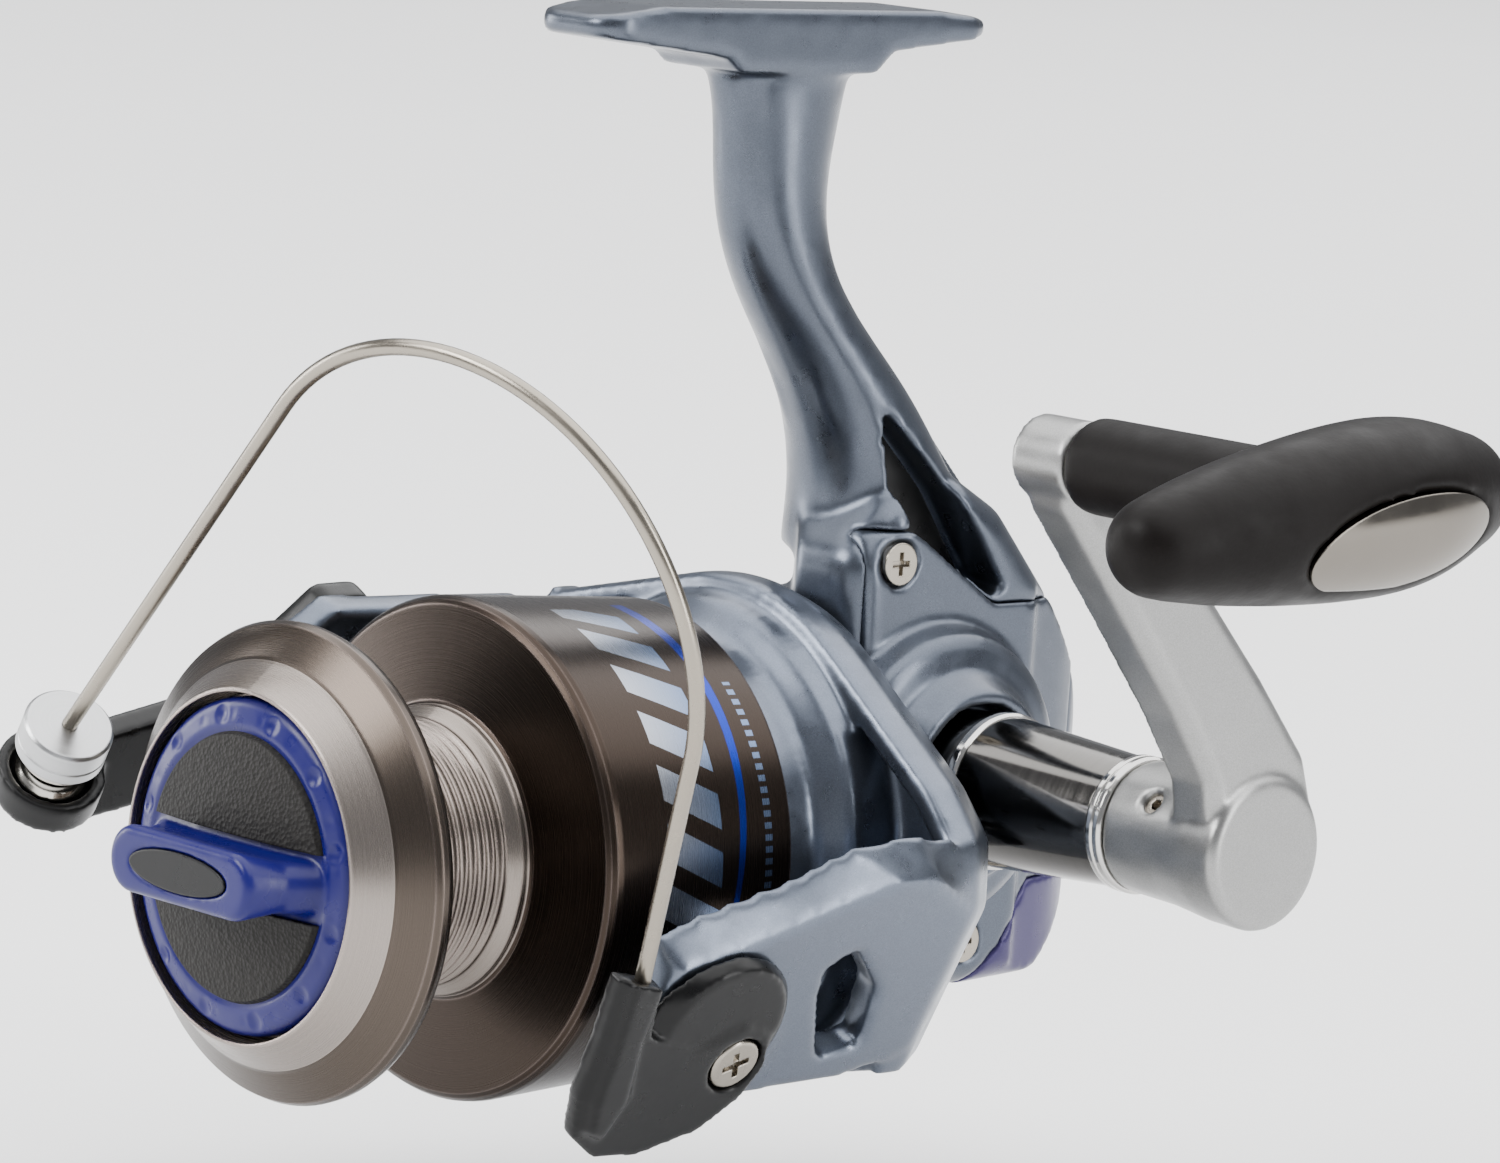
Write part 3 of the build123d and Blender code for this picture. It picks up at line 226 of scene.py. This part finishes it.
def metal(name, colour, rough, grain=700, depth=0.04):
    """Plain plated or ground metal with light smudges."""
    s = Shader(name)
    edge_highlight_mask = s.soften(METAL_EDGE)
    tone = s.mix(s.noise(90, 5), scaled(colour, 0.88), scaled(colour, 1.1))
    # painted highlight: the colour is lightened along edges
    tone = s.mix(s.math("MULTIPLY", edge_highlight_mask, 0.4), tone, scaled(colour, 1.4))
    s.bump(s.noise(grain, 4), depth, 0.0001)
    smudged = s.span(s.noise(180, 5), 0.3, 0.7, rough - 0.05, rough + 0.07)
    s.set(colour=tone, metal=1.0, rough=smudged)
    return s.done()


def turned_metal(name, colour, rough, joint, pitch=2.2, depth=0.12):
    """Metal cut on a lathe: fine grooves round the joint's axis, about pitch of them to a millimetre."""
    s = Shader(name)
    edge_highlight_mask = s.soften(METAL_EDGE)
    offset = s.node("ShaderNodeVectorMath", operation="SUBTRACT")
    s.feed(offset.inputs[0], s.place)
    offset.inputs[1].default_value = joint["pos_m"]
    along = s.node("ShaderNodeVectorMath", operation="DOT_PRODUCT")
    s.feed(along.inputs[0], offset.outputs[0])
    along.inputs[1].default_value = joint["axis"]
    length = s.node("ShaderNodeVectorMath", operation="LENGTH")
    s.feed(length.inputs[0], offset.outputs[0])
    far, ahead = length.outputs["Value"], along.outputs["Value"]
    across = s.math("SUBTRACT", s.math("POWER", far, 2.0), s.math("POWER", ahead, 2.0))
    radius = s.math("SQRT", s.math("MAXIMUM", across, 0.0))
    lane = s.combine(s.math("MULTIPLY", s.math("ADD", radius, ahead), pitch / MM), 0.0, 0.0)
    groove = s.noise(1.0, 4, 0.7, lane)
    tone = s.mix(groove, scaled(colour, 0.8), scaled(colour, 1.12))
    # painted highlight: the colour is lightened along edges
    tone = s.mix(s.math("MULTIPLY", edge_highlight_mask, 0.4), tone, scaled(colour, 1.3))
    s.bump(groove, depth, 0.0001)
    s.set(colour=tone, metal=1.0, rough=s.span(groove, 0.2, 0.8, rough - 0.05, rough + 0.1))
    return s.done()


CONE_R = 24.6                  # where the spool's colours change, in millimetres
CONE_BACK = -26.0
LIP_REAR = -19.5
ARBOR_R = 17.9
ARBOR_REAR = -1.6


def spool_finish():
    """Bronze-brown anodised metal: bright cut cone, dark skirt with stripes, turned lines everywhere."""
    s = Shader("spool_bronze")
    edge_highlight_mask = s.soften(SPOOL_EDGE)
    radius, back, angle = round_place(s)
    lane = s.combine(s.math("MULTIPLY", s.math("ADD", radius, back), 5.0), 0.0, 0.0)
    groove = s.noise(1.0, 5, 0.75, lane)
    dark = s.mix(groove, rgb(0.020, 0.0145, 0.0115), rgb(0.046, 0.034, 0.027))
    pale = s.mix(groove, rgb(0.17, 0.145, 0.128), rgb(0.36, 0.32, 0.29))
    lip = s.mix(groove, rgb(0.050, 0.040, 0.033), rgb(0.092, 0.075, 0.063))
    arbor = s.mix(groove, rgb(0.16, 0.135, 0.118), rgb(0.30, 0.265, 0.235))
    on_cone = s.math("MULTIPLY", s.math("LESS_THAN", radius, CONE_R), s.math("LESS_THAN", back, CONE_BACK))
    on_lip = s.math("LESS_THAN", back, LIP_REAR)
    on_arbor = s.math("MULTIPLY", s.math("LESS_THAN", radius, ARBOR_R), s.math("LESS_THAN", back, ARBOR_REAR))
    tone = s.mix(on_lip, dark, lip)
    tone = s.mix(on_arbor, tone, arbor)
    tone = s.mix(on_cone, tone, pale)
    tone = skirt_stripes(s, tone, radius, back, angle)
    # painted highlight: edges lightened to a pinkish silver
    tone = s.mix(s.math("MULTIPLY", edge_highlight_mask, 0.75), tone, rgb(0.36, 0.29, 0.265))
    s.bump(groove, 0.10, 0.0001)
    s.set(colour=tone, metal=0.95, rough=s.span(groove, 0.2, 0.8, 0.2, 0.33), specular=0.3)
    return s.done()


SKIRT_R = 30.5                 # middle radius of the skirt; lengths round it are arc lengths
SKIRT_FROM = (28.6, 2.0)       # the skirt's outside is beyond this radius and behind this place
BARS_BACK = (8.6, 17.8)        # (from, to) along the axis, then round the skirt
BARS_ARC = (-13, 42)
BAR_STEP = 7.2
BAR_WIDE = 4.4
BAR_SLANT = 0.45
LINE_BACK = 20.9
LINE_WAVE = 1.3
LINE_ARC = (-22, 44)
LINE_HALF = (0.25, 0.95)       # half width at the line's two ends
TICKS_BACK = (25.2, 26.4)
TICKS_ARC = (-30, 26)
TICK_STEP = 1.5
TICK_WIDE = 0.8


def skirt_stripes(s, tone, radius, back, angle):
    """Generic slanted bars, a curved blue line and a row of ticks printed round the skirt."""
    def between(value, low, high):
        return s.math("MULTIPLY", s.math("GREATER_THAN", value, low), s.math("LESS_THAN", value, high))

    def repeated(value, step, wide):
        return s.math("LESS_THAN", s.math("FLOORED_MODULO", value, step), wide)

    def patch(mark, along, arcs):
        return s.math("MULTIPLY", s.math("MULTIPLY", mark, between(back, *along)), between(arc, *arcs))

    skirt_r, skirt_back = SKIRT_FROM
    outside = s.math("GREATER_THAN", radius, skirt_r)
    skirt = s.math("MULTIPLY", outside, s.math("GREATER_THAN", back, skirt_back))
    arc = s.math("MULTIPLY", angle, SKIRT_R)
    slant = s.math("ADD", arc, s.math("MULTIPLY", back, BAR_SLANT))
    bars = patch(repeated(slant, BAR_STEP, BAR_WIDE), BARS_BACK, BARS_ARC)
    ticks = patch(repeated(arc, TICK_STEP, TICK_WIDE), TICKS_BACK, TICKS_ARC)
    wave = s.math("MULTIPLY", s.math("SINE", s.math("MULTIPLY", angle, 2.1)), LINE_WAVE)
    off_line = s.math("ABSOLUTE", s.math("SUBTRACT", back, s.math("ADD", LINE_BACK, wave)))
    line = s.math("LESS_THAN", off_line, s.span(arc, *LINE_ARC, *LINE_HALF))
    line = s.math("MULTIPLY", line, between(arc, *LINE_ARC))
    silver = s.mix(s.span(back, *BARS_BACK, 0, 1), rgb(0.30, 0.32, 0.36), rgb(0.13, 0.18, 0.29))
    tone = s.mix(s.math("MULTIPLY", skirt, s.math("MAXIMUM", bars, ticks)), tone, silver)
    return s.mix(s.math("MULTIPLY", skirt, line), tone, rgb(0.012, 0.03, 0.30))


def rubber():
    """Near-black soft rubber with a faint sheen."""
    s = Shader("grip_soft_rubber")
    cloud = s.noise(60, 5)
    tone = s.mix(cloud, rgb(0.0022, 0.0016, 0.0014), rgb(0.005, 0.0037, 0.0033))
    s.bump(s.noise(1500, 3), 0.12, 0.0002)
    worn = s.span(s.noise(220, 4), 0.3, 0.7, 0.40, 0.54)
    s.set(colour=tone, rough=worn, specular=0.1, sheen=0.01, sheen_rough=0.4)
    return s.done()


def grained_panel():
    """Coarse moulded grain, as on a grip panel."""
    s = Shader("knob_panel_grain")
    s.soften(METAL_EDGE)
    cells = s.node("ShaderNodeTexVoronoi")
    s.feed(cells.inputs["Vector"], s.place)
    cells.inputs["Scale"].default_value = 1900
    s.bump(cells.outputs["Distance"], 0.35, 0.0003)
    s.bump(s.noise(2600, 2), 0.2, 0.0002)
    tone = s.mix(s.noise(900, 4), rgb(0.004, 0.0036, 0.0032), rgb(0.016, 0.0145, 0.013))
    s.set(colour=tone, rough=0.55, specular=0.16)
    return s.done()


def floor_finish():
    s = Shader("studio_floor")
    tone = s.mix(s.noise(3, 3), rgb(0.86, 0.86, 0.86), rgb(0.89, 0.89, 0.89))
    s.set(colour=tone, rough=0.8)
    return s.done()


def make_materials():
    cap, handle = JOINTS["line_roller_spin"], JOINTS["handle_spin"]
    return {
        "body_paint": paint("body_blue_grey", rgb(0.082, 0.094, 0.118)),
        "rotor_paint": paint("rotor_blue_grey", rgb(0.118, 0.136, 0.172)),
        "rear_cover": paint("rear_cover_violet", rgb(0.030, 0.022, 0.085), metal=0.3),
        "shaft_cap": plastic("shaft_cap_black", rgb(0.03, 0.03, 0.034), 0.4),
        "spool_metal": spool_finish(),
        "knob_blue": plastic("knob_royal_blue", rgb(0.0055, 0.0045, 0.088), 0.3, specular=0.28),
        "knob_panel": grained_panel(),
        "black_plastic": plastic("black_satin", rgb(0.0028, 0.0028, 0.003), 0.3, specular=0.22),
        "wire_steel": metal("wire_stainless", rgb(0.30, 0.27, 0.225), 0.27),
        "roller_metal": metal("roller_plate", rgb(0.48, 0.46, 0.42), 0.12),
        "turned_aluminium": turned_metal("cap_turned", rgb(0.48, 0.485, 0.49), 0.3, cap),
        "screw_nickel": metal("screw_nickel", rgb(0.34, 0.31, 0.265), 0.25),
        "black_chrome": turned_metal("collar_black_chrome", rgb(0.13, 0.125, 0.118), 0.09, handle, 1.0, 0.02),
        "bright_ring": metal("ring_chrome", rgb(0.55, 0.54, 0.52), 0.1),
        "crank_paint": paint("crank_silver", rgb(0.30, 0.30, 0.295), rough=0.34),
        "grip_rubber": rubber(),
        "grip_insert": metal("insert_smoky_nickel", rgb(0.17, 0.155, 0.135), 0.17),
        "bearing_steel": metal("ground_steel", rgb(0.55, 0.55, 0.56), 0.25),
        "gear_zinc": metal("zinc_casting", rgb(0.42, 0.43, 0.45), 0.42, 1400, 0.12),
        "brass": metal("turned_brass", rgb(0.60, 0.43, 0.17), 0.28),
        "nylon": plastic("nylon", rgb(0.62, 0.60, 0.55), 0.45),
        "felt": plastic("greased_felt", rgb(0.16, 0.14, 0.12), 0.85, 2200, 0.4),
    }


MATERIALS = make_materials()
SLOT_OF = {s["node"]: s["material_slot"] for s in frame["record"]["subparts"]}


def dress_frame():
    for name, node in frame["nodes"].items():
        node.data.materials.clear()
        node.data.materials.append(MATERIALS[SLOT_OF[name]])


# ---------------------------------------------------------------- meshes that stand for CAD nodes
def body_of(node):
    for body, members in frame["record"]["behaviour"]["bodies"].items():
        if node in members:
            return body
    raise ValueError(node)


def stand_in(node, mesh, name):
    """Shows this mesh in place of the CAD node, on the same body and in the same finish."""
    piece = bpy.data.objects.new(name, mesh)
    bpy.context.scene.collection.objects.link(piece)
    mesh.materials.clear()
    mesh.materials.append(MATERIALS[SLOT_OF[node]])
    mesh.shade_smooth()
    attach(piece, body_of(node))
    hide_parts(node)


def softened(node, voxel, passes):
    """The CAD solid as one soft-edged casting: remeshed evenly, then relaxed."""
    work = bpy.data.objects.new("work", frame["nodes"][node].data.copy())
    bpy.context.scene.collection.objects.link(work)
    remesh = work.modifiers.new("even", "REMESH")
    remesh.mode = "VOXEL"
    remesh.voxel_size = voxel
    relax = work.modifiers.new("relax", "SMOOTH")
    relax.factor = 0.5
    relax.iterations = passes
    graph = bpy.context.evaluated_depsgraph_get()
    mesh = bpy.data.meshes.new_from_object(work.evaluated_get(graph))
    bpy.data.objects.remove(work)
    return mesh


SOFT_NODES = [                 # node, voxel in millimetres, smoothing passes
    ("body_housing", 0.6, 12),
    ("side_cover", 0.5, 6),
    ("rear_cover", 0.5, 7),
    ("rotor", 0.6, 14),
    ("bail_holder", 0.4, 12),
    ("bail_lever", 0.4, 12),
    ("drag_knob", 0.3, 8),
    ("crank_arm", 0.45, 6),
    ("grip", 0.6, 30),
]
DIMPLES = 12
DIMPLE_RING = 18.4 * MM        # radius of the circle of dimples round the drag knob
DIMPLE_R = 1.25 * MM
DIMPLE_DEEP = 0.3 * MM
RIM_FRONT = -32 * MM           # the knob's rim lies in front of this, measured from the skirt's edge


def press_dimples(mesh):
    """Small round hollows in the front rim of the drag knob."""
    step = math.tau / DIMPLES
    for vertex in mesh.vertices:
        x, y, z = vertex.co.x, vertex.co.y - AXIS_Y, vertex.co.z - AXIS_Z
        if y > RIM_FRONT or abs(math.hypot(x, z) - DIMPLE_RING) > DIMPLE_R:
            continue
        turn = (round(math.atan2(z, x) / step - 0.5) + 0.5) * step
        off = math.hypot(x - DIMPLE_RING * math.cos(turn), z - DIMPLE_RING * math.sin(turn)) / DIMPLE_R
        if off < 1:
            vertex.co.y += DIMPLE_DEEP * (1 - off * off)


def make_castings():
    for node, voxel, passes in SOFT_NODES:
        mesh = softened(node, voxel * MM, passes)
        if node == "drag_knob":
            press_dimples(mesh)
        stand_in(node, mesh, node + "_casting")


# ---------------------------------------------------------------- black plate as painted shade in the side recess
RECESS = [(60.2, 52.2), (63.2, 39.4), (77.4, 30.6), (78.4, 31.0), (70.0, 42.8)]   # (back, up), mm
RECESS_FACES = (5.0 * MM, 5.6 * MM)


def make_recess_shade_plate():
    """Thin black plate on the floor of the recess beside the stem: painted shade, standing in for the shadow
    inside the recess.
    """
    shape = bmesh.new()
    rings = []
    for x in RECESS_FACES:
        rings.append([shape.verts.new((x, AXIS_Y + back * MM, AXIS_Z + up * MM)) for back, up in RECESS])
    shape.faces.new(rings[0])
    shape.faces.new(reversed(rings[1]))
    for here in range(len(RECESS)):
        after = (here + 1) % len(RECESS)
        shape.faces.new((rings[0][here], rings[1][here], rings[1][after], rings[0][after]))
    bmesh.ops.recalc_face_normals(shape, faces=shape.faces)
    mesh = bpy.data.meshes.new("recess_painted_shade")
    shape.to_mesh(mesh)
    shape.free()
    mesh.materials.append(MATERIALS["black_plastic"])
    # painted shade: a black plate where the recess lies in shadow
    piece = bpy.data.objects.new("recess_painted_shade", mesh)
    bpy.context.scene.collection.objects.link(piece)
    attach(piece, body_of("body_housing"))


# ---------------------------------------------------------------- stage
CAMERA_AT = Vector((0.638, -0.5926, 0.0485))
CAMERA_AZIMUTH = math.radians(46.948)
CAMERA_ELEVATION = math.radians(7.8991)
CAMERA_ROLL = math.radians(3.9342)
CAMERA_LENS = 168.114


def make_camera():
    data = bpy.data.cameras.new("camera")
    data.lens = CAMERA_LENS
    data.sensor_width = 36.0
    data.clip_end = 50
    camera = bpy.data.objects.new("camera", data)
    bpy.context.scene.collection.objects.link(camera)
    sin_a, cos_a = math.sin(CAMERA_AZIMUTH), math.cos(CAMERA_AZIMUTH)
    sin_e, cos_e = math.sin(CAMERA_ELEVATION), math.cos(CAMERA_ELEVATION)
    back = Vector((sin_a * cos_e, -cos_a * cos_e, sin_e))
    right = Vector((cos_a, sin_a, 0))
    turn = Matrix.Rotation(CAMERA_ROLL, 4, back)
    level = Matrix((right, back.cross(right), back)).transposed().to_4x4()
    camera.matrix_world = Matrix.Translation(CAMERA_AT) @ turn @ level
    bpy.context.scene.camera = camera


def softbox(name, at, towards, size, power):
    data = bpy.data.lights.new(name, "AREA")
    data.shape = "RECTANGLE"
    data.size, data.size_y = size
    data.energy = power
    lamp = bpy.data.objects.new(name, data)
    bpy.context.scene.collection.objects.link(lamp)
    lamp.location = at
    lamp.rotation_euler = (Vector(towards) - Vector(at)).to_track_quat("-Z", "Y").to_euler()


FLOOR_GAP = 20 * MM            # the floor lies this far below the model
FLOOR_SIZE = 14
MIDDLE = (0.02, -0.03, -0.08)  # what the soft boxes point at


def make_stage():
    low = CAD_BOX[0][2]
    bpy.ops.mesh.primitive_plane_add(size=FLOOR_SIZE, location=(0, 0, low - FLOOR_GAP))
    floor = bpy.context.object
    floor.name = "floor"
    floor.data.materials.append(floor_finish())
    world = bpy.data.worlds.new("studio")
    bpy.context.scene.world = world
    world.use_nodes = True
    sky = world.node_tree.nodes["Background"]
    sky.inputs["Color"].default_value = (0.93, 0.95, 1.0, 1.0)
    sky.inputs["Strength"].default_value = 0.4
    softbox("ceiling", (0, 1.4, 2.6), (0, 1.4, 0), (6, 6), 430)
    softbox("key", (-0.35, -1.0, 0.65), MIDDLE, (0.7, 0.5), 16)
    softbox("side", (1.15, 0.35, 0.25), MIDDLE, (0.3, 0.9), 10)
    softbox("low_left", (-1.0, -0.5, 0.05), MIDDLE, (0.25, 0.7), 7)


dress_frame()
make_castings()
make_recess_shade_plate()
make_camera()
make_stage()
